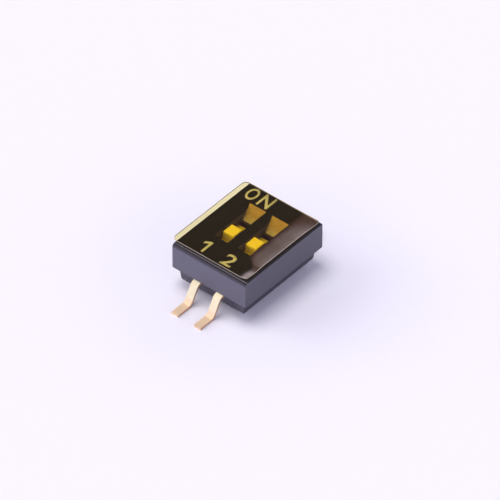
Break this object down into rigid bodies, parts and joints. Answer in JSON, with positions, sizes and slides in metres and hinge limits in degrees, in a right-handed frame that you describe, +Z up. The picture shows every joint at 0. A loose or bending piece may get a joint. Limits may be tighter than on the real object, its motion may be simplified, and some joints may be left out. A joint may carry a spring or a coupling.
{
  "type": "dip switch",
  "caption": "Low black surface-mount slide DIP switch with knobs under an amber seal film and gull-wing terminals; each knob slides from OFF to ON.",
  "frame": {"origin": "on the board plane, in the middle of the four solder feet", "axes": "+X along the row from pole 1 to pole 2, +Y along the slider travel from OFF to ON, +Z up from the board"},
  "size_m": [0.0044, 0.0082, 0.0025],
  "materials": {
    "cover_plastic": "moulded, satin",
    "base_plastic": "moulded, satin",
    "slider_plastic": "moulded, smooth",
    "contact_metal": "gold plated",
    "terminal_metal": "gold plated, bright",
    "film": "clear amber film"
  },
  "bodies": {
    "housing": {"cover": "cover_plastic", "base": "base_plastic", "terminal_front_1": "terminal_metal", "terminal_front_2": "terminal_metal", "terminal_rear_1": "terminal_metal", "terminal_rear_2": "terminal_metal", "seal_film": "film"},
    "switch_1": {"slider_1": "slider_plastic", "contact_spring_1": "contact_metal"},
    "switch_2": {"slider_2": "slider_plastic", "contact_spring_2": "contact_metal"}
  },
  "joints": [
    {"name": "slide_1", "type": "slide", "parent": "housing", "child": "switch_1", "axis": [0, 1, 0], "range_m": [0, 0.00065]},
    {"name": "slide_2", "type": "slide", "parent": "housing", "child": "switch_2", "axis": [0, 1, 0], "range_m": [0, 0.00065]}
  ]
}
